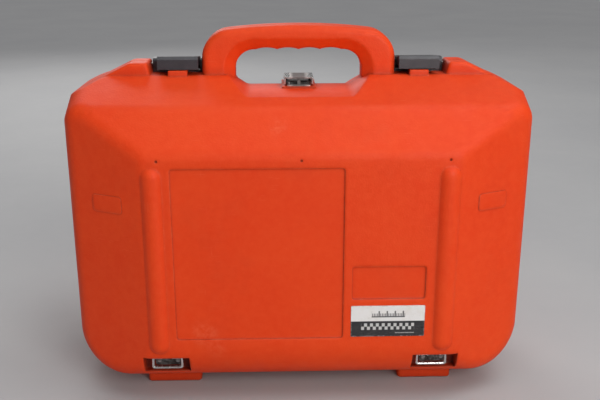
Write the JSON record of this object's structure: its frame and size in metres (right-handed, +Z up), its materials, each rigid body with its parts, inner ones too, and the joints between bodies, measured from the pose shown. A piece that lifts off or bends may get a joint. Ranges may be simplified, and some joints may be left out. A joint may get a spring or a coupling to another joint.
{
  "type": "surveying instrument carrying case",
  "caption": "Upright hard-plastic carrying case with foam cradles, bottom hinges, latch levers, a centre hasp, a loop handle and strap rings.",
  "frame": {"origin": "on the floor under the feet, in the middle of the footprint and on the parting plane of the two halves", "axes": "+X to the right seen from the front panel, +Y from the front panel to the rear shell, +Z up to the handle"},
  "size_m": [0.47, 0.23, 0.3799],
  "materials": {
    "shell_plastic": "matte",
    "dark_plastic": "satin",
    "bright_steel": "polished",
    "pin_steel": "satin",
    "seal_rubber": "matte",
    "foam": "matte",
    "label": "gloss"
  },
  "bodies": {
    "case_rear": {"rear_shell": "shell_plastic", "rim_seal": "seal_rubber", "foam_cradle": "foam", "hinge_pin_left": "pin_steel", "hinge_pin_right": "pin_steel", "latch_pin_left": "pin_steel", "latch_pin_right": "pin_steel", "clasp_base": "bright_steel", "clasp_pin": "pin_steel", "clasp_rivets": "pin_steel", "latch_seat_left": "dark_plastic", "latch_seat_right": "dark_plastic"},
    "lid": {"front_shell": "shell_plastic", "lid_foam": "foam", "label_plate": "label", "clasp_staple": "bright_steel", "staple_rivets": "pin_steel", "ring_bracket_left": "bright_steel", "ring_bracket_right": "bright_steel", "bracket_rivets": "pin_steel"},
    "left_latch": {"latch_lever_left": "dark_plastic"},
    "right_latch": {"latch_lever_right": "dark_plastic"},
    "hasp": {"clasp_hasp": "bright_steel"},
    "left_ring": {"strap_ring_left": "bright_steel"},
    "right_ring": {"strap_ring_right": "bright_steel"}
  },
  "joints": [
    {"name": "lid_hinge", "type": "hinge", "parent": "case_rear", "child": "lid", "pos_m": [0, 0, 0.009], "axis": [1, 0, 0], "range_deg": [0, 110]},
    {"name": "left_latch_pivot", "type": "hinge", "parent": "case_rear", "child": "left_latch", "pos_m": [-0.124, 0.0135, 0.3372], "axis": [-1, 0, 0], "range_deg": [0, 100]},
    {"name": "right_latch_pivot", "type": "hinge", "parent": "case_rear", "child": "right_latch", "pos_m": [0.124, 0.0135, 0.3372], "axis": [-1, 0, 0], "range_deg": [0, 100]},
    {"name": "hasp_pivot", "type": "hinge", "parent": "case_rear", "child": "hasp", "pos_m": [0, 0.011, 0.3228], "axis": [-1, 0, 0], "range_deg": [0, 95]},
    {"name": "left_ring_swing", "type": "hinge", "parent": "lid", "child": "left_ring", "pos_m": [-0.1385, -0.098, 0.0498], "axis": [-1, 0, 0], "range_deg": [0, 90]},
    {"name": "right_ring_swing", "type": "hinge", "parent": "lid", "child": "right_ring", "pos_m": [0.136, -0.098, 0.0498], "axis": [-1, 0, 0], "range_deg": [0, 90]}
  ]
}
